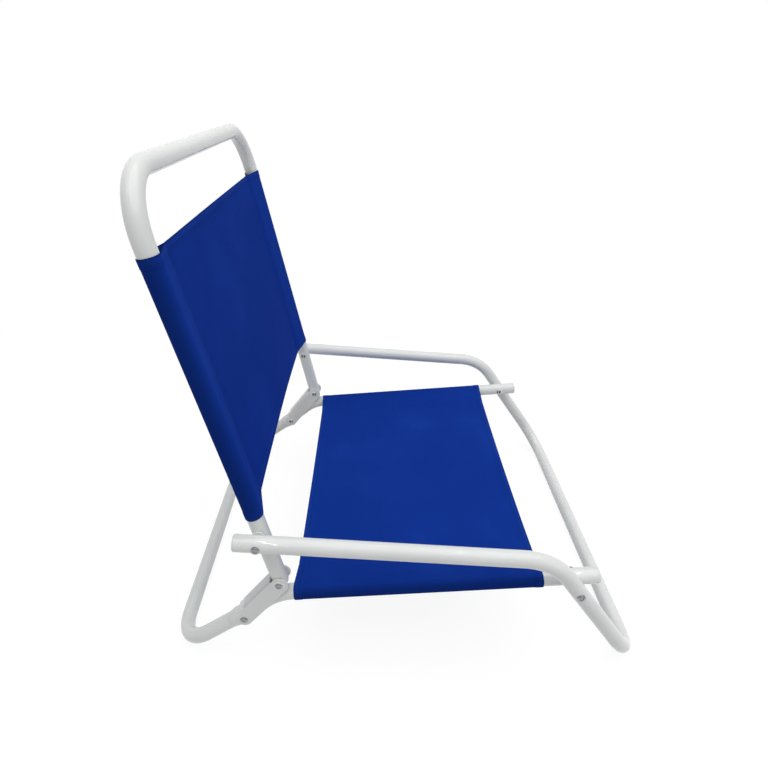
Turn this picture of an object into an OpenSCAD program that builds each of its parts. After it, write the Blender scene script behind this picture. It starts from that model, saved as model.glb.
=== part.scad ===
// Low folding sling chair.
// Three bent tube frames, two seat rails and two slung cloths, riveted into a four-bar fold.
// The chair faces -Y, +Z is up, and the origin is on the floor under the middle of the chair.

/* [Tube] */
// Outer diameter of every frame tube
tube_d = 22; // [19:0.5:24]
// Wall of the frame tubes
tube_wall = 1.2; // [0.8:0.1:2]

/* [Stance] */
// Distance between the centrelines of the two seat rails
seat_w = 496; // [440:2:560]
// Distance between the front and the rear floor bar
floor_span = 666; // [640:2:700]
// Height of the front leg pivot and of the back foot pivot
pivot_h = 161.5; // [155:0.5:170]
// Radius of the corners between the legs and the floor bars
floor_bend = 62; // [50:1:75]

/* [Back] */
// Distance from the middle of the chair back to the back foot pivot
foot_y = 165.5; // [160:0.5:172]
// Lean of the back from upright, in degrees
back_tilt = 10.3; // [8:0.1:12]
// Distance from the back foot pivot to the top bar
back_len = 523.5; // [500:0.5:560]
// Radius of the top corners
back_bend = 67; // [50:1:80]

/* [Arms and front legs] */
// Distance from the middle of the chair forward to the front leg pivot
front_y = 228.5; // [220:0.5:236]
// Distance up the back from its foot pivot to the arm pivot
arm_up = 92; // [86:0.5:98]
// Rise of the arms toward the back, in degrees
arm_slope = 5.15; // [3:0.05:6]
// Length of arm behind the arm pivot
arm_tail = 29; // [24:0.5:34]
// Radius of the bend between arm and front leg
arm_bend = 84; // [80:1:110]
// Free space between an arm and the upright beside it
arm_gap = 2.4; // [2.2:0.1:4]

/* [Seat rails] */
// Fall of the rails toward the back, in degrees
rail_slope = 3.85; // [3:0.05:4.5]
// Length of rail in front of the front leg pivot
rail_nose = 34; // [28:0.5:40]
// Fall of the rails behind their bend, in degrees
rail_drop = 39.5; // [37:0.5:42]
// Radius of the bend in the rails
rail_bend = 72; // [60:1:76]

/* [Channels of the rear legs] */
// Distance from the rear leg pivot to the back foot pivot
channel_len = 88.5; // [84:0.5:93]
// Lean of the channels from level, in degrees
channel_lean = 51.2; // [48:0.2:54]
// Wall of the channels
channel_wall = 1.6; // [1.2:0.1:2]
// Free space between a channel and the tubes that fold into it
channel_play = 0.6; // [0.4:0.05:0.8]
// Radius of the outer edges between web and sides
channel_corner = 5.5; // [4:0.5:7]
// Radius of the ears about the back foot pivot
ear_r = 12.5; // [11.5:0.1:14]
// Distance from the rear leg pivot up to the squared part
shoulder = 8; // [6:0.5:12]
// Radius of the rounded shoulder of the web
shoulder_r = 3; // [1:0.5:4]
// Length of round neck below the rear leg pivot
neck_len = 14; // [12.5:0.5:18]
// Length of the taper from neck to tube
taper_len = 12; // [8:0.5:18]
// Radius of the knee between neck and channel
neck_bend = 20; // [16:1:24]
// Distance from the rear leg pivot down to the closed front of the neck
mouth = 12.8; // [12.6:0.1:14]
// Free space between the web and the upright that stops on it
stop_gap = 0.3; // [0.1:0.05:0.5]

/* [Rivets] */
// Diameter of the rivet shanks
rivet_d = 6; // [4:0.5:7]
// Free space round a shank in its holes
rivet_play = 0.05; // [0.02:0.01:0.08]
// Diameter of the rivet heads
head_d = 11; // [9.5:0.5:12]
// Height of the rivet heads
head_t = 1.4; // [1:0.1:2]
// Diameter of the hollow in a rivet head
hollow_d = 6.4; // [4:0.2:7]
// Depth of the hollow in a rivet head
hollow_t = 1.1; // [0.6:0.1:2]
// Outer diameter of the spacing washers
washer_d = 16; // [13:0.5:18]
// Free space between two pieces that turn past each other
turn_gap = 0.3; // [0.3:0.05:0.4]

/* [Plugs] */
// Thickness of the flange of an end plug
plug_flange = 2.4; // [1.5:0.1:4]
// Radius of the outer edge of the flange
plug_edge = 1.8; // [0.5:0.1:2]
// Depth of an end plug inside its tube
plug_depth = 12; // [8:1:16]
// Free space round an end plug in its tube
plug_play = 0.05; // [0.02:0.01:0.1]

/* [Cloth] */
// Thickness of one layer of cloth
cloth_t = 0.6; // [0.4:0.1:0.7]
// Free space between a sleeve and its tube
cloth_play = 0.3; // [0.2:0.05:0.3]
// Distance from the middle of a tube to the sleeve seam
seam = 45; // [30:1:60]
// Distance from the front leg pivot back to the seat cloth
seat_cloth_start = 41; // [32:1:46]
// Length of the seat cloth along the rails
seat_cloth_len = 336; // [320:1:337]
// Distance up the back from its foot pivot to the back cloth
back_cloth_start = 117; // [110:1:125]
// Length of the back cloth along the uprights
back_cloth_len = 335; // [310:1:341]

/* [Hidden] */
$fn = 64;
// Length by which a cut runs past what it cuts
past = 1;
// Length by which a straight stretch of tube laps into the bend that follows it
lap = 1;
// The neck of a channel is this much slimmer than its sides
neck_step = 0.1;
// A bend comes out this much thinner than the straight tube
bend_draw = 0.04;
paint = [0.93, 0.94, 0.93];
steel = [0.62, 0.64, 0.66];
blue = [0.06, 0.16, 0.55];
tube_r = tube_d / 2;
bore_d = tube_d - 2 * tube_wall;
hole_d = rivet_d + 2 * rivet_play;
rail_x = seat_w / 2;
arm_x = rail_x + tube_d + arm_gap;
// Height of the beads rolled round the rivet heads
bead = 0.7;

// Points and directions in the side view are [y, z].
floor_front = [-floor_span / 2, tube_r];
floor_rear = [floor_span / 2, tube_r];
front_pivot = [-front_y, pivot_h];
foot_pivot = [foot_y, pivot_h];
back_dir = [sin(back_tilt), cos(back_tilt)];
arm_pivot = foot_pivot + arm_up * back_dir;
leg_pivot = foot_pivot + channel_len * [cos(channel_lean), -sin(channel_lean)];
arm_dir = [-cos(arm_slope), -sin(arm_slope)];
front_leg_dir = unit(floor_front - front_pivot);
rear_leg_dir = unit(floor_rear - leg_pivot);
rail_dir = [cos(rail_slope), -sin(rail_slope)];
drop_dir = [cos(rail_drop), -sin(rail_drop)];
arm_corner = meet(arm_pivot, arm_dir, front_pivot, front_leg_dir);
rail_corner = meet(front_pivot, rail_dir, leg_pivot, drop_dir);
back_top = foot_pivot + back_len * back_dir;

// A channel's own axes: along it to the back foot pivot, and square to its web.
along = unit(foot_pivot - leg_pivot);
square_to = [along.y, -along.x];
channel_in = tube_r + channel_play;
channel_out = channel_in + channel_wall;
// Share of a sleeve's radius at which its flat flanks meet the round
drop_waist = 0.98;
// Radius of the ball-shaped tube ends inside a channel
ball_end_r = tube_r + channel_play / 2;
channel_bore_corner = max(channel_corner - channel_wall, 1);
// The web stops where the upright's rear wall comes down on it.
web_end = channel_len
    - (tube_r + stop_gap - channel_in * (back_dir * along)) / (back_dir * square_to);

function unit(v) = v / norm(v);
function cross2(a, b) = a.x * b.y - a.y * b.x;
// Point where the line from p along a crosses the line from q along b
function meet(p, a, q, b) = p + a * cross2(q - p, b) / cross2(a, b);
// Point and direction in space for a point and a direction in the side view
function at(x, p) = [x, p.x, p.y];
function side_dir(d) = [0, d.x, d.y];
// Length of a corner that a bend of radius r replaces, between directions a and b
function reach(a, b, r) = r * tan(acos(a * b) / 2);
function leg_way(pts, i) = unit(pts[i + 1] - pts[i]);
// The same route with both ends lengthened by e
function stretched(pts, e) = let (n = len(pts) - 1) [for (i = [0 : n])
    i == 0 ? pts[0] - e * leg_way(pts, 0) : i == n ? pts[n] + e * leg_way(pts, n - 1) : pts[i]];

// Puts children at o with their X and Y axes along x and y
module place(o, x, y) {
    z = cross(x, y);
    multmatrix([[x.x, y.x, z.x, o.x], [x.y, y.y, z.y, o.y], [x.z, y.z, z.z, o.z], [0, 0, 0, 1]])
        children();
}

// Puts children at o with their Z axis along a direction in the side view
module point_along(o, d) {
    place(o, [1, 0, 0], cross(side_dir(d), [1, 0, 0])) children();
}

// Puts children at o with their Z axis along +X
module point_out(o) {
    place(o, [0, 1, 0], [0, 0, 1]) children();
}

// Shows children drawn for the left side on either side
module on_side(side) {
    if (side == "left") children();
    else mirror([1, 0, 0]) children();
}

module rod(p, q, d) {
    z = unit(q - p);
    x = unit(cross(abs(z.x) < 0.9 ? [1, 0, 0] : [0, 1, 0], z));
    place(p, x, cross(z, x)) cylinder(h = norm(q - p), d = d);
}

module bend(corner, a, b, r, d) {
    start = corner - a * reach(a, b, r);
    centre = start + unit(b - a * (a * b)) * r;
    place(centre, unit(start - centre), a)
        rotate_extrude(angle = acos(a * b)) translate([r, 0]) circle(d = d);
}

// Round bar along a route with a bend of radii[i - 1] at point i
module bar(pts, radii, d) {
    n = len(pts) - 1;
    for (i = [0 : n - 1]) {
        way = leg_way(pts, i);
        head = i == 0 ? 0 : reach(leg_way(pts, i - 1), way, radii[i - 1]) - lap;
        tail = i == n - 1 ? 0 : reach(way, leg_way(pts, i + 1), radii[i]) - lap;
        rod(pts[i] + head * way, pts[i + 1] - tail * way, d);
    }
    for (i = [1 : n - 1])
        bend(pts[i], leg_way(pts, i - 1), leg_way(pts, i), radii[i - 1], d - bend_draw);
}

module tube(pts, radii) {
    difference() {
        bar(pts, radii, tube_d);
        bar(stretched(pts, past), radii, bore_d);
    }
}

// Hole for a rivet across both tube planes at a pivot
module rivet_hole(pivot) {
    for (side = [-1, 1])
        point_out(at(side * (rail_x + arm_x) / 2, pivot))
            cylinder(d = hole_d, h = arm_x - rail_x + 2 * tube_d, center = true);
}

// Stock ground off a tube past pivot o, toward d, to leave a ball-shaped end
module end_stock(x, o, d) {
    place(at(x, o), [1, 0, 0], side_dir(d)) difference() {
        translate([-tube_d, 0, -tube_d]) cube([2 * tube_d, 2 * tube_d, 2 * tube_d]);
        sphere(r = ball_end_r);
    }
}

// Rivet head with a rolled edge and an open hollow; it rises from z = 0
module rivet_head() {
    rotate_extrude() difference() {
        union() {
            square([head_d / 2 - bead, head_t]);
            square([head_d / 2, head_t - bead]);
            translate([head_d / 2 - bead, head_t - bead]) circle(r = bead);
        }
        translate([-past, head_t - hollow_t]) square([hollow_d / 2 + past, hollow_t + past]);
        mirror([1, 0]) square([head_d, 2 * head_t]);
    }
}

// Rivet head bedded on a tube: its foot follows the tube's round
module bedded_head(tube_dir) {
    bed = tube_r - sqrt(tube_r * tube_r - head_d * head_d / 4);
    difference() {
        union() {
            rivet_head();
            translate([0, 0, -bed]) cylinder(d = head_d, h = bed + head_t - bead);
        }
        translate([0, 0, head_t - hollow_t]) cylinder(d = hollow_d, h = hollow_t + past);
        place([0, 0, -tube_r], [0, 0, 1], cross([tube_dir.x, tube_dir.y, 0], [0, 0, 1]))
            cylinder(d = tube_d + 2 * rivet_play, h = 4 * head_d, center = true);
    }
}

// Spacing washer on the inner side of the left arm tube at a pivot
module washer(pivot) {
    gap = arm_x - rail_x - tube_d;
    point_out(at(arm_x - tube_r - gap + turn_gap, pivot)) difference() {
        cylinder(d = washer_d, h = gap - turn_gap);
        translate([0, 0, -past]) cylinder(d = hole_d, h = gap + 2 * past);
    }
}

// Plug for a tube whose end is at o and opens toward d
module plug(o, d) {
    point_along(o, d) rotate_extrude() {
        translate([0, -plug_depth]) square([bore_d / 2 - plug_play, plug_depth + plug_flange]);
        square([tube_r, plug_flange - plug_edge]);
        square([tube_r - plug_edge, plug_flange]);
        intersection() {
            translate([tube_r - plug_edge, plug_flange - plug_edge]) circle(r = plug_edge);
            square([tube_r, plug_flange]);
        }
    }
}

module arm_leg_frame() {
    color(paint) difference() {
        tube([at(arm_x, arm_pivot - (arm_tail - plug_flange) * arm_dir), at(arm_x, arm_corner),
            at(arm_x, floor_front), at(-arm_x, floor_front),
            at(-arm_x, arm_corner), at(-arm_x, arm_pivot - (arm_tail - plug_flange) * arm_dir)],
            [arm_bend, floor_bend, floor_bend, arm_bend]);
        rivet_hole(arm_pivot);
        rivet_hole(front_pivot);
    }
}

module back_frame() {
    color(paint) difference() {
        tube([at(rail_x, foot_pivot - tube_d * back_dir), at(rail_x, back_top),
            at(-rail_x, back_top), at(-rail_x, foot_pivot - tube_d * back_dir)],
            [back_bend, back_bend]);
        for (x = [-rail_x, rail_x]) end_stock(x, foot_pivot, -back_dir);
        rivet_hole(foot_pivot);
        rivet_hole(arm_pivot);
    }
}

module seat_rail(side) {
    color(paint) on_side(side) difference() {
        tube([at(rail_x, front_pivot - (rail_nose - plug_flange) * rail_dir),
            at(rail_x, rail_corner), at(rail_x, leg_pivot + tube_d * drop_dir)], [rail_bend]);
        end_stock(rail_x, leg_pivot, drop_dir);
        rivet_hole(front_pivot);
        rivet_hole(leg_pivot);
    }
}

// Section of a channel, open at -y: half width w, web at w, rounded edges
module channel_section(w, corner) {
    translate([-w, -2 * w]) square([2 * w, 3 * w - corner]);
    translate([corner - w, 0]) square([2 * (w - corner), w]);
    for (x = [corner - w, w - corner]) translate([x, w - corner]) circle(r = corner);
}

// Side outline of a channel: heel at the rear leg pivot, ear at the back foot pivot
module channel_outline() {
    circle(d = tube_d);
    translate([channel_len, 0]) circle(r = ear_r);
    polygon([[0, -tube_r], [channel_len, -ear_r], [channel_len, ear_r], [web_end, channel_out],
        [shoulder + shoulder_r, channel_out], [shoulder, channel_out - shoulder_r], [shoulder, 0], [0, 0]]);
    translate([shoulder + shoulder_r, channel_out - shoulder_r]) circle(r = shoulder_r);
}

// Round neck that joins a channel to the rear leg, of radius r at the pivot and foot_r at the leg
module neck(r, foot_r) {
    down = [rear_leg_dir * along, rear_leg_dir * square_to, 0];
    up = [1, 0, 0];
    start = reach(-down, up, neck_bend) - lap;
    place([0, 0, 0], [0, 0, 1], cross(down, [0, 0, 1])) rotate_extrude()
        polygon([[0, start], [r, start], [r, neck_len], [foot_r, neck_len + taper_len],
            [0, neck_len + taper_len]]);
    bend([0, 0, 0], -down, up, neck_bend, 2 * r - bend_draw);
    translate([start, 0, 0]) rotate([0, 90, 0]) cylinder(r = r, h = shoulder + 2 * lap - start);
}

module channel_solid() {
    intersection() {
        linear_extrude(height = 2 * channel_out, center = true) channel_outline();
        translate([-tube_d, 0, 0]) rotate([0, 90, 0])
            linear_extrude(height = channel_len + 2 * tube_d) channel_section(channel_out, channel_corner);
    }
    neck(channel_out - neck_step, tube_r - bend_draw);
}

module channel_hollow() {
    neck(channel_in - neck_step, bore_d / 2 - bend_draw);
    translate([shoulder + channel_wall, 0, 0]) rotate([0, 90, 0])
        linear_extrude(height = 2 * channel_len) channel_section(channel_in, channel_bore_corner);
    translate([-mouth, -2 * channel_out, -channel_in])
        cube([2 * channel_len, 2 * channel_out, 2 * channel_in]);
    sphere(r = channel_in);
    translate([web_end, -channel_out, -channel_in]) cube([channel_len, 3 * channel_out, 2 * channel_in]);
}

// Puts children in a channel's axes on the left side
module channel_place() {
    place(at(rail_x, leg_pivot), side_dir(along), side_dir(square_to)) children();
}

module rear_leg_frame() {
    top = leg_pivot + (neck_len + taper_len - 2 * lap) * rear_leg_dir;
    color(paint) difference() {
        union() {
            bar([at(rail_x, top), at(rail_x, floor_rear), at(-rail_x, floor_rear), at(-rail_x, top)],
                [floor_bend, floor_bend], tube_d);
            for (side = ["left", "right"]) on_side(side) channel_place() channel_solid();
        }
        bar([at(rail_x, top), at(rail_x, floor_rear), at(-rail_x, floor_rear), at(-rail_x, top)],
            [floor_bend, floor_bend], bore_d);
        for (side = ["left", "right"]) on_side(side) channel_place() channel_hollow();
        rivet_hole(leg_pivot);
        rivet_hole(foot_pivot);
    }
}

// Rivet through a channel's two sides
module channel_rivet(side, pivot) {
    color(steel) on_side(side) point_out(at(rail_x, pivot)) {
        cylinder(d = rivet_d, h = 2 * channel_out, center = true);
        translate([0, 0, channel_out]) rivet_head();
        mirror([0, 0, 1]) translate([0, 0, channel_out]) rivet_head();
    }
}

module front_leg_rivet(side) {
    inner = rail_x - tube_r - turn_gap;
    color(steel) on_side(side) {
        point_out(at(inner, front_pivot)) cylinder(d = rivet_d, h = arm_x + tube_r - inner);
        point_out(at(arm_x + tube_r, front_pivot)) bedded_head(front_leg_dir);
        point_out(at(inner, front_pivot)) mirror([0, 0, 1]) rivet_head();
    }
}

module front_leg_washer(side) {
    color(paint) on_side(side) washer(front_pivot);
}

module arm_rivet(side) {
    inner = rail_x + tube_r + turn_gap;
    color(steel) on_side(side) {
        point_out(at(inner, arm_pivot)) cylinder(d = rivet_d, h = arm_x + tube_r - inner);
        point_out(at(arm_x + tube_r, arm_pivot)) bedded_head(arm_dir);
    }
}

module arm_washer(side) {
    color(paint) on_side(side) washer(arm_pivot);
}

module arm_rivet_cap(side) {
    color(steel) on_side(side) {
        point_out(at(rail_x - tube_r, arm_pivot)) cylinder(d = rivet_d, h = tube_d);
        point_out(at(rail_x - tube_r, arm_pivot)) mirror([0, 0, 1]) bedded_head(back_dir);
    }
}

module arm_plug(side) {
    color(paint) on_side(side)
        plug(at(arm_x, arm_pivot - (arm_tail - plug_flange) * arm_dir), -arm_dir);
}

module seat_rail_plug(side) {
    color(paint) on_side(side)
        plug(at(rail_x, front_pivot - (rail_nose - plug_flange) * rail_dir), -rail_dir);
}

module rear_leg_rivet(side) {
    channel_rivet(side, leg_pivot);
}

module back_foot_rivet(side) {
    channel_rivet(side, foot_pivot);
}

// Drop-shaped bar of radius r and length h, drawn out to an edge at tip toward -x
module drop(r, tip, h) {
    cylinder(r = r, h = h);
    linear_extrude(height = h) polygon([[-tip, 0], [0, drop_waist * r], [0, -drop_waist * r]]);
}

// Slung cloth of length h: a flat panel with a sewn sleeve round the tube on each side
module sling(h) {
    inner = tube_r + cloth_play;
    outer = inner + cloth_t;
    fold_tip = seam * inner / outer;
    difference() {
        union() {
            translate([fold_tip - rail_x, -cloth_t, 0]) cube([seat_w - 2 * fold_tip, 2 * cloth_t, h]);
            for (turn = [0, 180]) rotate(turn) translate([rail_x, 0, 0]) drop(outer, seam, h);
        }
        for (turn = [0, 180]) rotate(turn) translate([rail_x, 0, -past])
            drop(inner, fold_tip, h + 2 * past);
    }
}

module seat_cloth() {
    color(blue) point_along(at(0, front_pivot), -rail_dir)
        translate([0, 0, -seat_cloth_start - seat_cloth_len]) sling(seat_cloth_len);
}

module back_cloth() {
    color(blue) point_along(at(0, foot_pivot), back_dir)
        translate([0, 0, back_cloth_start]) sling(back_cloth_len);
}

arm_leg_frame();
arm_plug("left");  // arm_plug_left
arm_plug("right");  // arm_plug_right
front_leg_rivet("left");  // front_leg_rivet_left
front_leg_rivet("right");  // front_leg_rivet_right
front_leg_washer("left");  // front_leg_washer_left
front_leg_washer("right");  // front_leg_washer_right
arm_rivet("left");  // arm_rivet_left
arm_rivet("right");  // arm_rivet_right
arm_washer("left");  // arm_washer_left
arm_washer("right");  // arm_washer_right
seat_rail("left");  // seat_rail_left
seat_rail("right");  // seat_rail_right
seat_rail_plug("left");  // seat_rail_plug_left
seat_rail_plug("right");  // seat_rail_plug_right
seat_cloth();
rear_leg_frame();
rear_leg_rivet("left");  // rear_leg_rivet_left
rear_leg_rivet("right");  // rear_leg_rivet_right
back_foot_rivet("left");  // back_foot_rivet_left
back_foot_rivet("right");  // back_foot_rivet_right
back_frame();
back_cloth();
arm_rivet_cap("left");  // arm_rivet_cap_left
arm_rivet_cap("right");  // arm_rivet_cap_right
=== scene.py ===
import math

import bpy
from mathutils import Matrix, Vector


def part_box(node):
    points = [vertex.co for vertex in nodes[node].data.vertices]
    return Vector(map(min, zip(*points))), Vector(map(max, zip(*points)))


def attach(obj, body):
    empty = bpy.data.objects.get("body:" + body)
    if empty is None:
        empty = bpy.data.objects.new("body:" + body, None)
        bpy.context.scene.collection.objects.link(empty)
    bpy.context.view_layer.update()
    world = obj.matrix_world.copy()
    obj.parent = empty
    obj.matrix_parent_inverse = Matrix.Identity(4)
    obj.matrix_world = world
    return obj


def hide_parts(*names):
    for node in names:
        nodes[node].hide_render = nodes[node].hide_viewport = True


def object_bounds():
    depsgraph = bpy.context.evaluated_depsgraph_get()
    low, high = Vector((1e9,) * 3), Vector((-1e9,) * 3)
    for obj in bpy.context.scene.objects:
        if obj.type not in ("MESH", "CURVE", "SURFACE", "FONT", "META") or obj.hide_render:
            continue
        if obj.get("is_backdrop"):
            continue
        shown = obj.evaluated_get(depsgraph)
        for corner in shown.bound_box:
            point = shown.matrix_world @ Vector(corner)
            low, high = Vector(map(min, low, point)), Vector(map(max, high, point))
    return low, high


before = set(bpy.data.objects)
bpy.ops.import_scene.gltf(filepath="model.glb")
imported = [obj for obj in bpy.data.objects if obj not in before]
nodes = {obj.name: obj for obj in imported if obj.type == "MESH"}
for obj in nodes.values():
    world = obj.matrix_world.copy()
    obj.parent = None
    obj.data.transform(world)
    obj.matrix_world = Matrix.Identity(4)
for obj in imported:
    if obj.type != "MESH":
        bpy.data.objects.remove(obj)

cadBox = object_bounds()


class Signal:  # a shader socket that can stand in a sum
    def __init__(self, finish, socket):
        self.finish = finish
        self.socket = socket

    def math(self, operation, first, second=0.0):
        return self.finish.node("Math", {"operation": operation}, {0: first, 1: second})

    def __add__(self, other):
        return self.math("ADD", self, other)

    def __sub__(self, other):
        return self.math("SUBTRACT", self, other)

    def __rsub__(self, other):
        return self.math("SUBTRACT", other, self)

    def __mul__(self, other):
        return self.math("MULTIPLY", self, other)

    __radd__ = __add__
    __rmul__ = __mul__


class Finish:  # the nodes of one material, or of the world
    def __init__(self, owner):
        owner.use_nodes = True
        self.owner = owner
        self.tree = owner.node_tree
        self.tree.nodes.clear()

    def node(self, kind, settings, sockets, output=0):  # settings first, then values or links
        made = self.tree.nodes.new("ShaderNode" + kind)
        for key, value in settings.items():
            setattr(made, key, value)
        for key, value in sockets.items():
            if isinstance(value, Signal):
                self.tree.links.new(value.socket, made.inputs[key])
            else:
                made.inputs[key].default_value = value
        return Signal(self, made.outputs[output]) if made.outputs else None

    def blend(self, amount, first, second):  # first colour where amount is 0, second where it is 1
        return self.node("Mix", {"data_type": "RGBA"}, {0: amount, 6: first, 7: second}, 2)

    def rise(self, value, low, high):  # 0 below low, 1 above high, smooth between
        settings = {"interpolation_type": "SMOOTHSTEP"}
        return self.node("MapRange", settings, {"Value": value, "From Min": low, "From Max": high})

    def noise(self, place, size, detail=2.0, roughness=0.5):  # size of a blotch in metres
        sockets = {"Vector": place, "Scale": 1.0 / size, "Detail": detail, "Roughness": roughness}
        return self.node("TexNoise", {}, sockets)

    def patches(self, place, spec):  # 1 inside the patches of a noise, 0 between them
        blotches = self.noise(place, spec["size"], spec["detail"], spec["roughness"])
        return self.rise(blotches, spec["from"], spec["to"])

    def place(self):  # a point in the piece, in metres
        return self.node("TexCoord", {}, {}, "Object")

    def length(self, vector):
        return self.node("VectorMath", {"operation": "LENGTH"}, {0: vector}, "Value")

    def apart(self, vector):
        return [self.node("SeparateXYZ", {}, {0: vector}, axis) for axis in "XYZ"]

    def bump(self, height, depth, strength=1.0):
        return self.node("Bump", {}, {"Strength": strength, "Distance": depth, "Height": height})

    def surface(self, sockets):
        shader = self.node("BsdfPrincipled", {}, sockets)
        self.node("OutputMaterial", {}, {"Surface": shader})
        return self.owner


def shadeSmooth(mesh):
    mesh.polygons.foreach_set("use_smooth", [True] * len(mesh.polygons))


def middle(node):  # centre of a CAD node's box
    low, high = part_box(node)
    return (Vector(low) + Vector(high)) / 2


def dress(names, material):
    for name in names:
        for materialSlot in nodes[name].material_slots:
            materialSlot.material = material


def showPiece(name, mesh, material):
    shadeSmooth(mesh)
    mesh.materials.append(material)
    piece = bpy.data.objects.new(name, mesh)
    bpy.context.scene.collection.objects.link(piece)
    return piece


railX = abs(middle("seat_rail_left").x)  # from the chair's middle plane to its rails

camera = {  # angles in radians, lens and sensor in mm
    "place": (-0.7413, 0.0335, 0.7478),
    "turn": 0.011,  # away from looking along +X
    "pitch": -0.523,
    "roll": -0.016,
    "lens": 24.99,
    "sensor": 36.0,
    "shift": 0.0173,
}

studio = {
    "worldLevel": 0.33,  # light of the room all round
    "worldColour": (1.0, 1.0, 1.0, 1.0),
    "floorBounce": (0.64, 0.635, 0.66, 1.0),  # colour of the floor, for the light that it throws up
    "floorSeen": 0.15,  # grey of the floor that the camera sees, which takes the shadow
    "floorGlow": 0.90,  # laid over that grey
    "floorHalf": 6.0,
    "clearFrom": 0.70,  # from here out the floor turns into plain white
    "clearTo": 1.9,
    "lamps": [  # size along X and the other way in metres, power in watts
        {
            "name": "softBox",
            "place": (-0.6, -1.1, 6.0),
            "aim": (0.0, 0.0, 0.25),
            "size": (7.5, 7.5),
            "power": 290.0,
        },
        {
            "name": "ceilingTubeRear",
            "place": (-1.75, 0.28, 2.3),
            "aim": (-1.75, 0.18, 0.0),
            "size": (2.6, 0.03),
            "power": 3.4,
        },
        {
            "name": "ceilingTubeFront",
            "place": (-0.70, -0.72, 2.3),
            "aim": (-0.70, -0.72, 0.0),
            "size": (1.8, 0.02),
            "power": 0.95,
        },
        {
            "name": "stripLight",
            "place": (-1.4, -2.2, 0.75),
            "aim": (-0.25, 0.25, 0.6),
            "size": (0.07, 1.3),
            "power": 1.2,
        },
    ],
}


def addCamera(spec):
    turn, pitch, roll = spec["turn"], spec["pitch"], spec["roll"]
    flat = math.cos(pitch)
    ahead = Vector((flat * math.cos(turn), flat * math.sin(turn), math.sin(pitch)))
    right = Vector((math.sin(turn), -math.cos(turn), 0.0))
    up = right.cross(ahead)
    tiltedRight = math.cos(roll) * right + math.sin(roll) * up
    tiltedUp = math.cos(roll) * up - math.sin(roll) * right
    data = bpy.data.cameras.new("mainCamera")
    data.lens = spec["lens"]
    data.sensor_width = spec["sensor"]
    data.shift_x = spec["shift"]
    item = bpy.data.objects.new("mainCamera", data)
    axes = Matrix((tiltedRight, tiltedUp, -ahead)).transposed()
    item.matrix_world = Matrix.Translation(spec["place"]) @ axes.to_4x4()
    bpy.context.scene.collection.objects.link(item)
    bpy.context.scene.camera = item


def addLamp(spec):
    data = bpy.data.lights.new(spec["name"], "AREA")
    data.shape = "RECTANGLE"
    data.size, data.size_y = spec["size"]
    data.energy = spec["power"]
    item = bpy.data.objects.new(spec["name"], data)
    item.location = spec["place"]
    toward = Vector(spec["aim"]) - Vector(spec["place"])
    item.rotation_euler = toward.to_track_quat("-Z", "Y").to_euler()
    bpy.context.scene.collection.objects.link(item)


def seenStraight(finish):  # 1 for rays that should meet the plain white background
    direct = finish.node("LightPath", {}, {}, "Is Camera Ray")
    glossy = finish.node("LightPath", {}, {}, "Is Glossy Ray")
    through = finish.node("LightPath", {}, {}, "Is Transmission Ray")
    return direct.math("MAXIMUM", direct.math("MAXIMUM", direct, glossy), through)


def addWorld(spec):
    world = bpy.data.worlds.new("studioWorld")
    bpy.context.scene.world = world
    finish = Finish(world)
    strength = spec["worldLevel"] + seenStraight(finish) * (1.0 - spec["worldLevel"])
    light = finish.node("Background", {}, {"Color": spec["worldColour"], "Strength": strength})
    finish.node("OutputWorld", {}, {"Surface": light})


def addFloor(spec):
    half = spec["floorHalf"]
    mesh = bpy.data.meshes.new("studioFloor")
    corners = [(-half, -half, 0.0), (half, -half, 0.0), (half, half, 0.0), (-half, half, 0.0)]
    mesh.from_pydata(corners, [], [(0, 1, 2, 3)])
    finish = Finish(bpy.data.materials.new("studioFloor"))
    seen = seenStraight(finish)
    share = spec["floorSeen"]
    colour = finish.blend(seen, spec["floorBounce"], (share, share, share, 1.0))
    matt = finish.node("BsdfDiffuse", {}, {"Color": colour})
    glow = finish.node("Emission", {}, {"Strength": seen * spec["floorGlow"]})
    near = finish.node("AddShader", {}, {0: matt, 1: glow})
    clear = finish.rise(finish.length(finish.place()), spec["clearFrom"], spec["clearTo"]) * seen
    white = finish.node("Emission", {}, {"Strength": 1.0})
    ground = finish.node("MixShader", {}, {0: clear, 1: near, 2: white})
    finish.node("OutputMaterial", {}, {"Surface": ground})
    showPiece("studioFloor", mesh, finish.owner)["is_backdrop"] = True


addCamera(camera)
for lamp in studio["lamps"]:
    addLamp(lamp)
addWorld(studio)
addFloor(studio)
bpy.context.scene.view_settings.view_transform = "Standard"
print("camera, lamps and floor are up")


frameCoat = {  # white powder coat on the tubes
    "colour": (0.822, 0.846, 0.824, 1.0),
    "cloud": (0.785, 0.808, 0.790, 1.0),  # slightly duller patches
    "cloudPatches": {"size": 0.09, "detail": 3.0, "roughness": 0.5, "from": 0.40, "to": 0.70},
    "rubbed": (0.64, 0.66, 0.65, 1.0),  # where the floor has rubbed the bars
    "rubbedPatches": {"size": 0.004, "detail": 4.0, "roughness": 0.65, "from": 0.47, "to": 0.60},
    "rubbedLow": 0.0008,  # rubbed in full up to this height
    "rubbedHigh": 0.0030,
    "rubbedRoughness": 0.25,
    "paintedWebShade": (0.60, 0.62, 0.63, 1.0),  # painted shade on the webs of the channels, which lie in shade inside the open channel
    "paintedWebShadeFrom": 0.0108,  # distance behind the line between a channel's rivets
    "paintedWebShadeTo": 0.0128,
    "roughness": 0.38,
    "handledPatches": {"size": 0.028, "detail": 4.0, "roughness": 0.6, "from": 0.45, "to": 0.72},
    "handledRoughness": 0.07,
    "peelSize": 0.0026,  # orange peel of the baked coat
    "peelDetail": 1.5,
    "peelHeight": 0.000008,
    "specular": 0.16,
    "coat": 0.72,
    "coatRoughness": 0.028,
}

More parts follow.
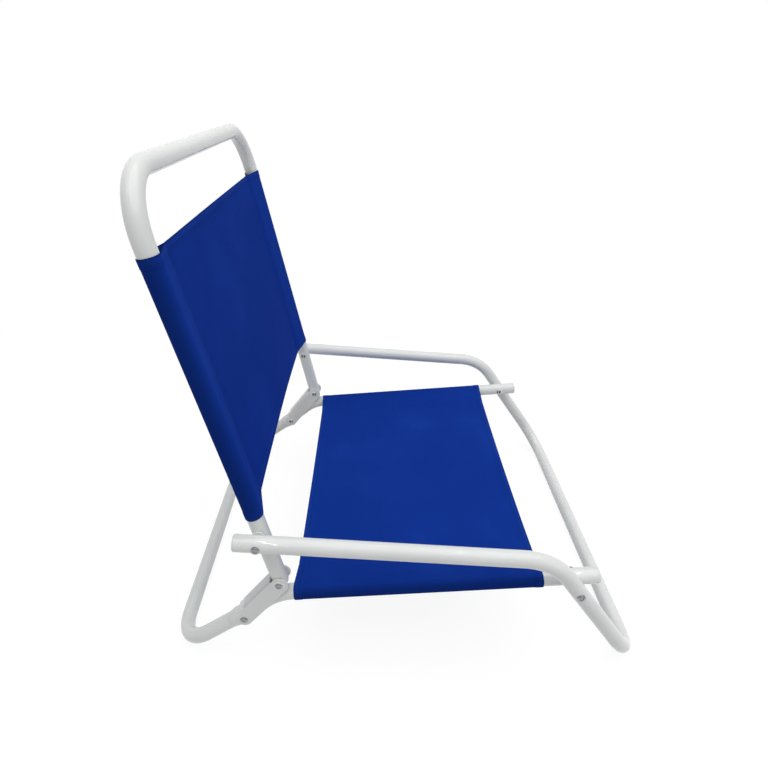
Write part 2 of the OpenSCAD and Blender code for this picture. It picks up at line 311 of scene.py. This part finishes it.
channelReach = {  # where a channel's web lies, from its lower rivet to its upper one
    "startShare": 0.10,
    "fullShare": 0.22,
    "endShare": 0.98,
    "near": 0.020,  # the web is nearer to the line between the rivets than this
    "far": 0.030,
}


def channelWeb(finish, place, spec):  # distance of a point behind the line between the rivets, or 0
    heel = middle("rear_leg_rivet_left") * Vector((0.0, 1.0, 1.0))
    ear = middle("back_foot_rivet_left") * Vector((0.0, 1.0, 1.0))
    reach = (ear - heel).length
    along = (ear - heel) / reach
    square = Vector((0.0, along.z, -along.y))
    square = -square if square.y < 0 else square
    fromHeel = finish.node("VectorMath", {"operation": "SUBTRACT"}, {0: place, 1: heel})
    dot = {"operation": "DOT_PRODUCT"}
    behind = finish.node("VectorMath", dot, {0: fromHeel, 1: square}, "Value")
    run = finish.node("VectorMath", dot, {0: fromHeel, 1: along}, "Value")
    started = finish.rise(run, spec["startShare"] * reach, spec["fullShare"] * reach)
    ended = finish.rise(run, spec["endShare"] * reach, reach)
    return behind * (started * (1.0 - ended)) * finish.rise(behind, spec["far"], spec["near"])


def coatFrame(spec):
    finish = Finish(bpy.data.materials.new("powderCoat"))
    place = finish.place()
    height = finish.apart(place)[2]
    cloud = finish.patches(place, spec["cloudPatches"])
    colour = finish.blend(cloud, spec["colour"], spec["cloud"])
    low = 1.0 - finish.rise(height, spec["rubbedLow"], spec["rubbedHigh"])
    rubbed = finish.patches(place, spec["rubbedPatches"]) * low
    colour = finish.blend(rubbed, colour, spec["rubbed"])
    web = channelWeb(finish, place, channelReach)
    # painted shade: the channel webs are coloured darker
    paintedWebShade = finish.rise(web, spec["paintedWebShadeFrom"], spec["paintedWebShadeTo"])
    handled = finish.patches(place, spec["handledPatches"])
    gloss = spec["roughness"] + handled * spec["handledRoughness"]
    peel = finish.noise(place, spec["peelSize"], spec["peelDetail"])
    return finish.surface({
        "Base Color": finish.blend(paintedWebShade, colour, spec["paintedWebShade"]),
        "Roughness": gloss + rubbed * spec["rubbedRoughness"],
        "Specular IOR Level": spec["specular"],
        "Coat Weight": spec["coat"],
        "Coat Roughness": spec["coatRoughness"],
        "Normal": finish.bump(peel, spec["peelHeight"]),
    })


tubes = ["arm_leg_frame", "rear_leg_frame", "back_frame", "seat_rail_left", "seat_rail_right"]
dress(tubes, coatFrame(frameCoat))
print("tube frames are coated")


plugPlastic = {  # white plastic of the tube end plugs and the spacing washers
    "colour": (0.79, 0.815, 0.795, 1.0),
    "soil": (0.62, 0.63, 0.60, 1.0),
    "soilPatches": {"size": 0.006, "detail": 4.0, "roughness": 0.6, "from": 0.55, "to": 0.80},
    "soilAmount": 0.35,
    "soilRoughness": 0.3,
    "roughness": 0.42,
    "specular": 0.4,
    "grainSize": 0.0009,
    "grainHeight": 0.00003,
}


def mouldPlugs(spec):
    finish = Finish(bpy.data.materials.new("plugPlastic"))
    place = finish.place()
    soiled = finish.patches(place, spec["soilPatches"]) * spec["soilAmount"]
    return finish.surface({
        "Base Color": finish.blend(soiled, spec["colour"], spec["soil"]),
        "Roughness": spec["roughness"] + soiled * spec["soilRoughness"],
        "Specular IOR Level": spec["specular"],
        "Normal": finish.bump(finish.noise(place, spec["grainSize"]), spec["grainHeight"]),
    })


dress([name for name in nodes if "_plug_" in name or "_washer_" in name], mouldPlugs(plugPlastic))
print("end plugs and washers are in")


rivetSteel = {  # zinc-plated tubular rivets
    "colour": (0.44, 0.46, 0.47, 1.0),
    "dull": (0.34, 0.36, 0.375, 1.0),
    "dullPatches": {"size": 0.003, "detail": 3.0, "roughness": 0.6, "from": 0.38, "to": 0.66},
    "dullRoughness": 0.12,
    "paintedUpperShade": (0.215, 0.23, 0.24, 1.0),  # painted shade: the upper half of the head coloured darker
    "paintedUpperShadeFrom": -0.001,  # height over the middle of the head
    "paintedUpperShadeTo": 0.004,
    "hollow": (0.50, 0.52, 0.54, 1.0),  # inside the open end of the shank
    "hollowFrom": 0.002816,  # distance from the middle of the head
    "hollowTo": 0.003264,
    "hollowTarnish": 0.6,
    "hollowRoughness": 0.25,
    "paintedHighlight": (0.66, 0.68, 0.67, 1.0),  # painted highlight: a light band down the middle of the heads that face the seat
    "dark": (0.115, 0.12, 0.12, 1.0),  # painted dark reflection on the two sides of such a head
    "darkFrom": 0.0004,  # aside from its middle
    "darkTo": 0.0014,
    "darkEdge": 0.0038,  # out from its middle
    "darkEnd": 0.0050,
    "changeHalf": 0.005,  # the inner look turns into the outer one inside the rail
    "roughness": 0.34,
    "turning": 0.00045,  # spacing of the marks left by the rivet tool
    "turningShare": 0.5,
    "grainSize": 0.0008,
    "relief": 0.000015,
    "reliefStrength": 0.8,
}


def plateRivets(pivot, spec):
    centre = middle(pivot + "_rivet_left")
    finish = Finish(bpy.data.materials.new("zinc_" + pivot))
    place = finish.place()
    across, along, height = finish.apart(place)
    flat = finish.node("CombineXYZ", {}, {"X": 0.0, "Y": along - centre.y, "Z": height - centre.z})
    radius = finish.length(flat)
    dull = finish.patches(place, spec["dullPatches"])
    outerFace = finish.blend(dull, spec["colour"], spec["dull"])
    # painted shade darkens the upper half of each outer head
    paintedUpperShade = finish.rise(height, centre.z + spec["paintedUpperShadeFrom"], centre.z + spec["paintedUpperShadeTo"])
    outerFace = finish.blend(paintedUpperShade, outerFace, spec["paintedUpperShade"])
    inside = 1.0 - finish.rise(radius, spec["hollowFrom"], spec["hollowTo"])
    outerFace = finish.blend(inside, outerFace, spec["hollow"])
    # painted reflection on the heads that face the seat: dark sides, a light middle
    aside = across.math("ABSOLUTE", along - centre.y)
    within = 1.0 - finish.rise(radius, spec["darkEdge"], spec["darkEnd"])
    dark = finish.rise(aside, spec["darkFrom"], spec["darkTo"]) * within
    innerFace = finish.blend(dark, spec["paintedHighlight"], spec["dark"])
    fromMiddle = across.math("ABSOLUTE", across)
    outer = finish.rise(fromMiddle, railX - spec["changeHalf"], railX + spec["changeHalf"])
    marks = radius.math("SINE", radius * (2 * math.pi / spec["turning"]))
    relief = marks * spec["turningShare"] + finish.noise(place, spec["grainSize"])
    worn = spec["roughness"] + dull * spec["dullRoughness"]
    return finish.surface({
        "Base Color": finish.blend(outer, innerFace, outerFace),
        "Metallic": 1.0 - inside * spec["hollowTarnish"],
        "Roughness": worn + inside * spec["hollowRoughness"],
        "Normal": finish.bump(relief, spec["relief"], spec["reliefStrength"]),
    })


for pivot in ("front_leg", "arm", "rear_leg", "back_foot"):
    dress([name for name in nodes if name.startswith(pivot + "_rivet")], plateRivets(pivot, rivetSteel))
print("rivets are plated")


footCollar = {  # white nylon collar under the head of each back foot rivet
    "inner": 0.0048,
    "outer": 0.0079,
    "rise": 0.0006,
    "edge": 0.0005,  # radius of the rounded edge
    "edgeSteps": 4,
    "sides": 64,
    "sharpAngle": math.radians(50),
    "colour": (0.93, 0.945, 0.935, 1.0),
}


def turnCollar(side, spec, material):
    centre = middle("back_foot_rivet_" + side)
    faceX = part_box("rear_leg_frame")[1][0]  # outer faces of the channels
    profile = [(spec["inner"], 0.0), (spec["inner"], spec["rise"])]
    for i in range(spec["edgeSteps"] + 1):
        angle = math.pi / 2 * i / spec["edgeSteps"]
        reach = spec["outer"] - spec["edge"] * (1.0 - math.sin(angle))
        profile.append((reach, spec["rise"] - spec["edge"] * (1.0 - math.cos(angle))))
    profile.append((spec["outer"], 0.0))
    vertices, faces, count = [], [], len(profile)
    for k in range(spec["sides"]):
        angle = 2 * math.pi * k / spec["sides"]
        for radius, rise in profile:
            x = math.copysign(faceX + rise, centre.x)
            vertices.append((x, centre.y + radius * math.cos(angle), centre.z + radius * math.sin(angle)))
        start, follow = k * count, (k + 1) % spec["sides"] * count
        for i in range(count):
            m = (i + 1) % count
            face = (start + i, start + m, follow + m, follow + i)
            faces.append(face if centre.x > 0 else face[::-1])
    mesh = bpy.data.meshes.new("footCollar_" + side)
    mesh.from_pydata(vertices, [], faces)
    collar = showPiece("footCollar_" + side, mesh, material)
    mesh.set_sharp_from_angle(angle=spec["sharpAngle"])
    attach(collar, "rear_leg")


nylon = mouldPlugs({**plugPlastic, "colour": footCollar["colour"]})
for side in ("left", "right"):
    turnCollar(side, footCollar, nylon)
print("collars are on")


wovenCloth = {  # blue woven cloth of both slings
    "thread": (0.0083, 0.048, 0.365, 1.0),
    "gap": (0.0036, 0.025, 0.226, 1.0),  # between the threads
    "gapFrom": 0.35,  # height of the weave, from 0 to 1
    "gapTo": 0.95,
    "pitch": 0.00085,  # from thread to thread
    "wobbleSize": 0.012,
    "wobbleShare": 0.35,  # how far a thread strays, in pitches
    "floatShare": 0.25,  # how much the upper threads stand out
    "streaksAcross": 1400.0,  # thick and thin threads, per metre
    "streaksAlong": 60.0,
    "faded": (0.0112, 0.056, 0.395, 1.0),
    "fadedPatches": {"size": 0.16, "detail": 3.0, "roughness": 0.55, "from": 0.42, "to": 0.78},
    "fadedAmount": 0.5,
    "fadedStreaks": (0.45, 0.75),
    "fadedStreakAmount": 0.22,
    "outside": (0.0046, 0.026, 0.190, 1.0),  # painted shade on the outer half of a sleeve, darker than the panel, in place of the light that shines through the single-layer panel
    "outsideRise": (0.001, 0.013),  # outward from the middle of the tube
    "outsideAmount": 0.95,
    "paintedCrestLight": (0.0150, 0.072, 0.475, 1.0),  # painted highlight, paler where the cloth turns over the front of the tube
    "paintedCrestLightRise": (-0.040, -0.028),
    "paintedCrestLightFall": (-0.002, 0.003),
    "hem": (0.0140, 0.068, 0.450, 1.0),  # paler across the hem, which is three layers thick
    "hemFade": (-0.0004, 0.0006),  # past the hem's inner edge
    "hemAmount": 0.11,
    "needleLine": (0.0040, 0.022, 0.160, 1.0),
    "needleHalf": 0.0010,
    "needleCore": 0.0004,
    "needleAmount": 0.6,
    "edge": (0.0042, 0.023, 0.165, 1.0),  # painted shade line along the free edges
    "paintedEdgeShadeWidth": 0.0016,
    "paintedEdgeShadeCore": 0.0008,
    "relief": 0.00011,
    "reliefStrength": 0.7,
    "streakRelief": 0.2,
    "roughness": 0.82,
    "streakRoughness": 0.1,
    "specular": 0.02,
}


def weave(name, spec, paintedCrestLightAmount):
    finish = Finish(bpy.data.materials.new(name))
    place = finish.place()
    across, along, fromEdge = [
        finish.node("Attribute", {"attribute_name": attribute}, {}, "Fac")
        for attribute in ("across", "along", "fromEdge")
    ]

    stray = (finish.noise(place, spec["wobbleSize"]) - 0.5) * (spec["wobbleShare"] * spec["pitch"])
    turn = math.pi / spec["pitch"]
    warp = across.math("SINE", (across + stray) * turn)
    weft = along.math("SINE", (along + stray) * turn)
    bulge = warp.math("MAXIMUM", warp.math("ABSOLUTE", warp), weft.math("ABSOLUTE", weft))
    crown = bulge * (1.0 - spec["floatShare"]) + warp * weft * spec["floatShare"]
    slub = finish.node("CombineXYZ", {}, {
        "X": across * spec["streaksAcross"],
        "Y": along * spec["streaksAlong"],
        "Z": 0.0,
    })
    streak = finish.node("TexNoise", {}, {"Vector": slub, "Scale": 1.0, "Detail": 2.0})
    colour = finish.blend(finish.rise(crown, spec["gapFrom"], spec["gapTo"]), spec["gap"], spec["thread"])

    worn = finish.patches(place, spec["fadedPatches"]) * spec["fadedAmount"]
    worn = worn + finish.rise(streak, *spec["fadedStreaks"]) * spec["fadedStreakAmount"]
    colour = finish.blend(worn, colour, spec["faded"])

    side = finish.apart(place)[0]
    fromTube = side.math("ABSOLUTE", side) - railX
    # painted shade on the outer halves of the sleeves
    outside = finish.rise(fromTube, *spec["outsideRise"])
    colour = finish.blend(outside * spec["outsideAmount"], colour, spec["outside"])
    # painted highlight along the crest of each sleeve
    paintedCrestLight = finish.rise(fromTube, *spec["paintedCrestLightRise"]) * (1.0 - finish.rise(fromTube, *spec["paintedCrestLightFall"]))
    colour = finish.blend(paintedCrestLight * paintedCrestLightAmount, colour, spec["paintedCrestLight"])

    hem = 1.0 - finish.rise(fromEdge - sewing["hemWidth"], *spec["hemFade"])
    colour = finish.blend(hem * spec["hemAmount"], colour, spec["hem"])
    fromRow = fromEdge - sewing["hemRow"]
    line = 1.0 - finish.rise(fromRow.math("ABSOLUTE", fromRow), spec["needleCore"], spec["needleHalf"])
    colour = finish.blend(line * spec["needleAmount"], colour, spec["needleLine"])
    # painted shade darkens the cloth near its free edges
    paintedEdgeShade = 1.0 - finish.rise(fromEdge, spec["paintedEdgeShadeCore"], spec["paintedEdgeShadeWidth"])
    return finish.surface({
        "Base Color": finish.blend(paintedEdgeShade, colour, spec["edge"]),
        "Roughness": spec["roughness"] + (streak - 0.5) * spec["streakRoughness"],
        "Specular IOR Level": spec["specular"],
        "Normal": finish.bump(crown + streak * spec["streakRelief"], spec["relief"], spec["reliefStrength"]),
    })


threadYarn = {  # sewing thread of the seams
    "colour": (0.0065, 0.036, 0.270, 1.0),
    "dark": (0.0035, 0.020, 0.160, 1.0),
    "darkFrom": -0.6,  # height of the twist, from -1 to 1
    "darkTo": 0.8,
    "twist": 0.0006,
    "twistHeight": 0.00005,
    "twistStrength": 0.6,
    "roughness": 0.62,
    "fuzzSize": 0.002,
    "fuzzRoughness": 0.1,
    "specular": 0.10,
}


def spinThread(spec):
    finish = Finish(bpy.data.materials.new("stitchThread"))
    place = finish.place()
    across, along, height = finish.apart(place)
    twist = across.math("SINE", (across + along + height) * (2 * math.pi / spec["twist"]))
    lit = finish.rise(twist, spec["darkFrom"], spec["darkTo"])
    fuzz = finish.noise(place, spec["fuzzSize"])
    return finish.surface({
        "Base Color": finish.blend(lit, spec["dark"], spec["colour"]),
        "Roughness": spec["roughness"] + fuzz * spec["fuzzRoughness"],
        "Specular IOR Level": spec["specular"],
        "Normal": finish.bump(twist, spec["twistHeight"], spec["twistStrength"]),
    })


sleeve = {  # the tunnel that each tube runs through
    "outer": 0.0116,
    "inner": 0.0111,
    "seam": 0.045,  # from the middle of the tube in to the seam
    "allowance": 0.012,  # cloth turned in past the seam, on the back
    "turns": 40,
    "flankShares": (0.0, 0.06, 0.16, 0.32, 0.50, 0.68, 0.84),  # points from the seam to the tube
}
sleeveLean = math.acos(sleeve["outer"] / sleeve["seam"])  # where round the tube the cloth leaves it

sewing = {
    "panelHalf": 0.00045,  # half the thickness of the panel
    "panelSteps": 18,
    "foldSteps": (-0.0005, 0.0, 0.0005, 0.003),  # points about the turned-in edge
    "foldRise": 0.00045,
    "hemWidth": 0.0100,
    "hemRise": 0.00045,
    "hemSteps": (-0.0002, 0.0003, 0.002, 0.005),  # points about the hem's inner edge
    "edgeSteps": (0.0, 0.00012, 0.0004, 0.0010, 0.003, 0.0052),  # points in from the free edge
    "edgeRound": 0.0009,
    "edgeBody": 0.45,  # share of the thickness left at the free edge
    "stepWidth": 0.0005,  # over which a hem or fold rises
    "ringSpacing": 0.0045,
    "hemRow": 0.0078,  # stitches, in from the free edge
    "seamRows": (0.0008, 0.0058),  # stitches, inward from the seam
    "rowSide": 0.0006,
    "seamSkip": 3,  # rings at each end of a seam that it leaves bare
    "groove": 0.00022,  # pressed in by the stitches
    "grooveHalf": 0.0007,
    "pucker": 0.00010,  # small waves that the seams pull into the cloth
    "puckerReach": 0.03,
    "stitch": 0.0026,
    "pitch": 0.0036,
    "thread": 0.00027,
    "threadSides": 6,
    "swells": ((0.18, 0.75), (0.5, 1.0), (0.82, 0.75)),  # share of a stitch's length and thickness
    "arch": 0.55,  # how a stitch lies on the cloth, in thread radii
    "sink": 0.3,
    "endSink": 0.6,
}

waves = {  # turns along X and along the cloth in radians per metre, share, and turns of the seed
    "ripple": ((11.0, 17.0, 1.0, 1.0), (-23.0, 31.0, 0.6, 2.0)),
    "pucker": ((0.0, 270.0, 1.0, 3.0), (90.0, 417.0, 0.7, 0.0)),
}

railSlope = math.radians(3.85)  # fall of the rails toward the back
seatSling = {
    "name": "seatSling",
    "cadNode": "seat_cloth",
    "body": "seat",
    "rails": ("seat_rail_left", "seat_rail_right"),
    "origin": middle("front_leg_rivet_left"),
    "run": Vector((0.0, math.cos(railSlope), -math.sin(railSlope))),
    "start": 0.041,  # from the origin, the pivot, to the cloth
    "length": 0.336,
    "pullStart": 0.0015,  # how far each free edge is drawn in at its middle
    "pullEnd": 0.0004,
    "skew": 0.0,  # how much further along the cloth sits on the left rail than in the middle
    "belly": -0.0018,  # height of the middle of the panel over its seams
    "bellyShare": 0.75,  # of it, at the hems
    "ripple": 0.00022,
    "seed": 0.7,
    "paintedCrestLightAmount": 0.0,
}

uprightRun = (middle("arm_rivet_left") - middle("back_foot_rivet_left")) * Vector((0.0, 1.0, 1.0))
backSling = {
    "name": "backSling",
    "cadNode": "back_cloth",
    "body": "back",
    "rails": ("back_frame",),
    "origin": middle("back_foot_rivet_left"),
    "run": uprightRun.normalized(),
    "start": 0.1186,
    "length": 0.3334,
    "pullStart": 0.0029,
    "pullEnd": -0.0002,
    "skew": 0.0012,
    "belly": -0.0010,
    "bellyShare": 0.75,
    "ripple": 0.00022,
    "seed": 2.9,
    "paintedCrestLightAmount": 0.20,
}


def softStep(value):
    value = min(max(value, 0.0), 1.0)
    return value * value * (3.0 - 2.0 * value)


def wave(table, x, d, seed):
    return sum(share * math.sin(a * x + b * d + turns * seed) for a, b, share, turns in table)


def sleeveRound(tubeX, radius, tip, tipOut):  # from the seam's front round the tube to its back
    leave = (tubeX - radius * math.cos(sleeveLean), radius * math.sin(sleeveLean))
    flank = []
    for share in sleeve["flankShares"]:
        flank.append((tip + (leave[0] - tip) * share, tipOut + (leave[1] - tipOut) * share))
    turns = sleeve["turns"]
    angles = [sleeveLean + 2 * (math.pi - sleeveLean) * i / turns for i in range(turns + 1)]
    bend = [(tubeX - radius * math.cos(angle), radius * math.sin(angle)) for angle in angles]
    return flank + bend + [(x, -w) for x, w in reversed(flank)]


def halfPanel(seamX):  # from the middle of the panel out to the seam
    fold, steps, side = seamX - sleeve["allowance"], sewing["panelSteps"], sewing["rowSide"]
    xs = [fold * i / steps for i in range(steps)]
    xs += [fold + step for step in sewing["foldSteps"]]
    for row in sorted(sewing["seamRows"], reverse=True):
        xs += [seamX - row - side, seamX - row, seamX - row + side]
    return xs


def ringPlaces(length):  # distances along the cloth, close together at its hems
    row, side = sewing["hemRow"], sewing["grooveHalf"]
    edge = [*sewing["edgeSteps"], row - side, row, row + side]
    edge += [sewing["hemWidth"] + step for step in sewing["hemSteps"]]
    first, last = edge[-1], length - edge[-1]
    count = round((last - first) / sewing["ringSpacing"])
    inside = [first + (last - first) * i / count for i in range(1, count)]
    return edge + inside + [length - d for d in reversed(edge)]


def stretch(points):  # running length along a row of points
    reach = [0.0]
    for a, b in zip(points, points[1:]):
        reach.append(reach[-1] + math.dist(a, b))
    return reach


# A place in a cloth is x across the chair, w off the panel toward the sitter,
# and d along the cloth from its first free edge.
class Sling:  # one cloth: a panel with a sleeve on each side
    def __init__(self, spec):
        self.spec = spec
        self.seamX = railX - sleeve["seam"]
        self.length = spec["length"]
        self.origin = Vector((0.0, spec["origin"].y, spec["origin"].z))
        out = Vector((1.0, 0.0, 0.0)).cross(spec["run"])
        self.out = -out if out.z < 0 else out  # square to the panel, toward the sitter
        half = sewing["panelHalf"]
        panel = halfPanel(self.seamX)
        turn = sleeveRound(railX, sleeve["outer"], self.seamX, half)
        leftHalf = [(x, half, "front") for x in panel]
        leftHalf += [(x, w, "sleeve") for x, w in turn]
        leftHalf += [(x, -half, "back") for x in reversed(panel)]
        self.turnStart = len(panel)
        self.turnEnd = len(panel) + len(turn) - 1
        self.lastBack = len(leftHalf) - 1  # the point at x = 0 on the back
        self.loop = leftHalf + [(-x, w, part) for x, w, part in reversed(leftHalf[1:-1])]
        self.count = len(self.loop)
        self.normals = self.loopNormals()
        tip = railX - sleeve["seam"] * sleeve["inner"] / sleeve["outer"]
        self.inner = sleeveRound(railX, sleeve["inner"], tip, 0.0)[:-1]
        self.reach = stretch([(x, w) for x, w, _ in self.loop])
        self.innerReach = stretch(self.inner)

    def loopNormals(self):
        normals = []
        for i in range(self.count):
            before, after = self.loop[i - 1], self.loop[(i + 1) % self.count]
            dx, dw = after[0] - before[0], after[1] - before[1]
            size = math.hypot(dx, dw)
            normals.append((-dw / size, dx / size))
        if normals[self.turnStart // 2][1] < 0:
            normals = [(-a, -b) for a, b in normals]
        return normals

    def mirrorOf(self, i):
        return i if i in (0, self.lastBack) else self.count - i

    def put(self, x, w, d):  # where a place lies in space
        spec, hem = self.spec, sewing["hemWidth"]
        bow = max(0.0, 1.0 - (x / self.seamX) ** 2)  # 1 at the middle of the panel, 0 at the seams
        share = min(max((d - hem) / (self.length - 2 * hem), 0.0), 1.0)
        s = d + bow * (spec["pullStart"] * (1.0 - share) - spec["pullEnd"] * share)
        s += spec["skew"] * x / railX
        even = spec["bellyShare"]
        w += spec["belly"] * bow * (even + (1.0 - even) * math.sin(math.pi * share))
        w += spec["ripple"] * wave(waves["ripple"], x, s, spec["seed"]) * bow ** 0.5
        nearSeam = max(0.0, 1.0 - abs(abs(x) - self.seamX) / sewing["puckerReach"])
        w += sewing["pucker"] * nearSeam * wave(waves["pucker"], x, d, spec["seed"])
        return self.origin + spec["run"] * (spec["start"] + s) + self.out * w + Vector((x, 0.0, 0.0))

    def lift(self, i, d):  # how far the outside stands off its plain shape
        x, _, part = self.loop[i]
        fromEdge = min(d, self.length - d)
        groove, side, step = sewing["groove"], sewing["grooveHalf"], sewing["stepWidth"]
        amount = sewing["hemRise"] * (1.0 - softStep((fromEdge - sewing["hemWidth"]) / step))
        amount -= groove * max(0.0, 1.0 - abs(fromEdge - sewing["hemRow"]) / side)
        if part != "sleeve":
            inward = self.seamX - abs(x)
            for row in sewing["seamRows"]:
                amount -= groove * max(0.0, 1.0 - abs(inward - row) / side)
            if part == "back":
                amount += sewing["foldRise"] * softStep((sleeve["allowance"] - inward) / step + 0.5)
        return amount

    def raised(self, i, d):
        x, w, _ = self.loop[i]
        amount = self.lift(i, d)
        return x + self.normals[i][0] * amount, w + self.normals[i][1] * amount

    def rings(self, d, add):  # the outside's ring at d, then the insides of the two sleeves
        nearEdge = min(1.0, min(d, self.length - d) / sewing["edgeRound"])
        body = sewing["edgeBody"] + (1.0 - sewing["edgeBody"]) * math.sqrt(nearEdge)

        def slim(point, centre):  # toward the middle of the cloth's thickness at its edge
            return [c + (p - c) * body for p, c in zip(point, centre)]

        outer = []
        for i, (x, _, part) in enumerate(self.loop):
            point = self.raised(i, d)
            centre = (point[0], 0.0)
            if part == "sleeve":
                k = (i if x > 0 else self.mirrorOf(i)) - self.turnStart
                partner = self.inner[k % len(self.inner)]
                centre = ((point[0] + math.copysign(partner[0], x)) / 2, (point[1] + partner[1]) / 2)
            outer.append(add(self.put(*slim(point, centre), d), self.reach[i], d))
        insides = []
        for side in (1.0, -1.0):
            ring = []
            for k, point in enumerate(self.inner):
                partner = self.loop[self.turnStart + k]
                centre = ((point[0] + partner[0]) / 2, (point[1] + partner[1]) / 2)
                x, w = slim(point, centre)
                ring.append(add(self.put(side * x, w, d), self.innerReach[k], d))
            insides.append(ring)
        return [outer] + insides

    def edgeFaces(self, outer, left, right):  # close the cloth at a free edge
        mirror, last, faces = self.mirrorOf, self.lastBack, []
        start, end = self.turnStart, self.turnEnd
        for i in range(start):  # the panel
            faces.append((outer[i], outer[i + 1], outer[last - i - 1], outer[last - i]))
            corners = (mirror(i + 1), mirror(i), mirror(last - i), mirror(last - i - 1))
            faces.append(tuple(outer[corner] for corner in corners))
        faces.append((outer[start], left[0], outer[end]))
        faces.append((outer[mirror(end)], right[0], outer[mirror(start)]))
        for k in range(end - start):  # the sleeves
            i, j, m = start + k, start + k + 1, (k + 1) % len(self.inner)
            faces.append((outer[i], outer[j], left[m], left[k]))
            faces.append((outer[mirror(j)], outer[mirror(i)], right[k], right[m]))
        return faces

    def mesh(self):
        vertices, faces = [], []
        threads = {"across": [], "along": [], "fromEdge": []}  # what the weave's material reads

        def add(point, across, d):
            vertices.append(tuple(point))
            threads["across"].append(across)
            threads["along"].append(d)
            threads["fromEdge"].append(min(d, self.length - d))
            return len(vertices) - 1

        rows = [self.rings(d, add) for d in ringPlaces(self.length)]
        for before, after in zip(rows, rows[1:]):
            for low, high, flip in zip(before, after, (False, True, False)):
                for i in range(len(low)):
                    j = (i + 1) % len(low)
                    face = (low[i], low[j], high[j], high[i])
                    faces.append(face[::-1] if flip else face)
        faces += self.edgeFaces(*rows[0])
        faces += [face[::-1] for face in self.edgeFaces(*rows[-1])]

        mesh = bpy.data.meshes.new(self.spec["name"])
        mesh.from_pydata(vertices, [], faces)
        for name, values in threads.items():
            mesh.attributes.new(name, "FLOAT", "POINT").data.foreach_set("value", values)
        return mesh

    def seams(self):  # rows to stitch, as points and the way out at each point
        rows = []
        for d in (sewing["hemRow"], self.length - sewing["hemRow"]):
            points = [self.put(*self.raised(i, d), d) for i in range(self.count)]
            ways = [Vector((a, 0.0, 0.0)) + self.out * b for a, b in self.normals]
            rows.append((points + points[:1], ways + ways[:1]))
        places = ringPlaces(self.length)[sewing["seamSkip"]:-sewing["seamSkip"]]
        depth = sewing["panelHalf"] - sewing["groove"]
        for side in (1.0, -1.0):
            for row in sewing["seamRows"]:
                x = side * (self.seamX - row)
                for face, rise in ((1.0, depth), (-1.0, depth + sewing["foldRise"])):
                    points = [self.put(x, face * rise, d) for d in places]
                    rows.append((points, [self.out * face] * len(points)))
        return rows


def addStitch(vertices, faces, a, b, way):  # a spindle of thread from a to b
    sides, thick = sewing["threadSides"], sewing["thread"]
    ahead = (b - a).normalized()
    side = ahead.cross(way).normalized()
    rise = side.cross(ahead)
    if rise.dot(way) < 0:
        rise = -rise
    sunk = rise * thick * sewing["endSink"]
    start = len(vertices)
    vertices.append(a - sunk)
    for share, swell in sewing["swells"]:
        centre = a.lerp(b, share) + rise * thick * (sewing["arch"] * swell - sewing["sink"])
        for k in range(sides):
            angle = 2 * math.pi * k / sides
            offset = side * math.cos(angle) + rise * math.sin(angle)
            vertices.append(centre + offset * thick * swell)
    vertices.append(b - sunk)
    tail = len(vertices) - 1
    rings = range(start + 1, tail, sides)  # first point of each ring
    for k in range(sides):
        m = (k + 1) % sides
        faces.append((start, rings[0] + m, rings[0] + k))
        for low, high in zip(rings, rings[1:]):
            faces.append((low + k, low + m, high + m, high + k))
        faces.append((tail, rings[-1] + k, rings[-1] + m))


def sewRows(name, rows, material):
    vertices, faces = [], []
    for points, ways in rows:
        reach = stretch(points)
        number = int(reach[-1] / sewing["pitch"])
        pitch = reach[-1] / number
        segment = 0
        for n in range(number):
            ends = []
            for half in (-0.5, 0.5):
                distance = (n + 0.5) * pitch + half * sewing["stitch"]
                while segment < len(points) - 2 and reach[segment + 1] < distance:
                    segment += 1
                part = (distance - reach[segment]) / (reach[segment + 1] - reach[segment])
                ends.append(points[segment].lerp(points[segment + 1], part))
            addStitch(vertices, faces, ends[0], ends[1], ways[segment])
    mesh = bpy.data.meshes.new(name)
    mesh.from_pydata([tuple(v) for v in vertices], [], faces)
    return showPiece(name, mesh, material)


panelWidth = 2 * (railX - sleeve["seam"])
flank = math.sqrt(sleeve["seam"] ** 2 - sleeve["outer"] ** 2)
wrap = 2 * flank + 2 * (math.pi - sleeveLean) * sleeve["outer"]  # of one sleeve
cutWidth = panelWidth + 2 * wrap + 2 * sleeve["allowance"]
yarn = spinThread(threadYarn)

for spec in (seatSling, backSling):
    sling = Sling(spec)
    cloth = weave(spec["name"] + "Cloth", wovenCloth, spec["paintedCrestLightAmount"])
    piece = showPiece(spec["name"], sling.mesh(), cloth)
    stitches = sewRows(spec["name"] + "Stitches", sling.seams(), yarn)
    for item in (piece, stitches):
        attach(item, spec["body"])
    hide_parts(spec["cadNode"])
    cutLength = spec["length"] + 2 * sewing["hemWidth"]
    list(spec["rails"])
    print(spec["name"], "is sewn, cut", round(cutWidth * 1000), "x", round(cutLength * 1000), "mm")

boxes = {"cad": cadBox, "visual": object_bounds()}
plain = {key: [list(map(float, corner)) for corner in box] for key, box in boxes.items()}
